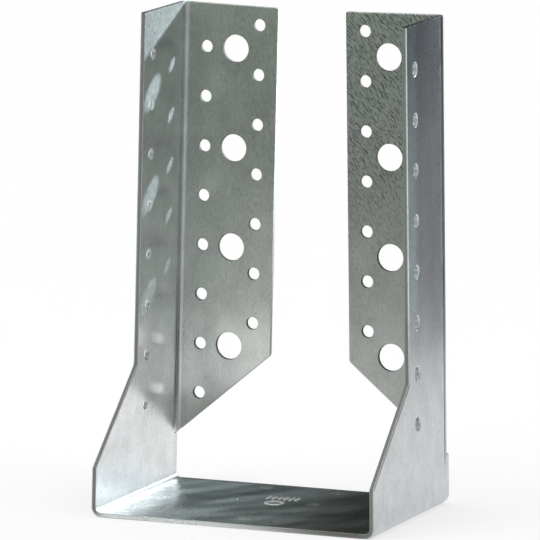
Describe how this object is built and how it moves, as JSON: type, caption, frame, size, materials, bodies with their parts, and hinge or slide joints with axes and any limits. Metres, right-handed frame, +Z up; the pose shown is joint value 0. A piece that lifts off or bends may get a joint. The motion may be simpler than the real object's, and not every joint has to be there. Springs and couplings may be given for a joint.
{
  "type": "joist hanger",
  "caption": "Folded sheet-metal joist hanger with a seat, two sides and two inward header flanges, punched for nails and bolts.",
  "frame": {"origin": "centre of the footprint, on the ground plane under the seat", "axes": "+Z up, +Y towards the header that the flanges lie against, -Y towards the open front, +X to the right seen from the front"},
  "size_m": [0.119, 0.084, 0.195],
  "materials": {
    "galvanised_sheet": "satin hot-dip galvanised, with a fine grain"
  },
  "bodies": {
    "root": {"hanger": "galvanised_sheet"}
  },
  "joints": []
}
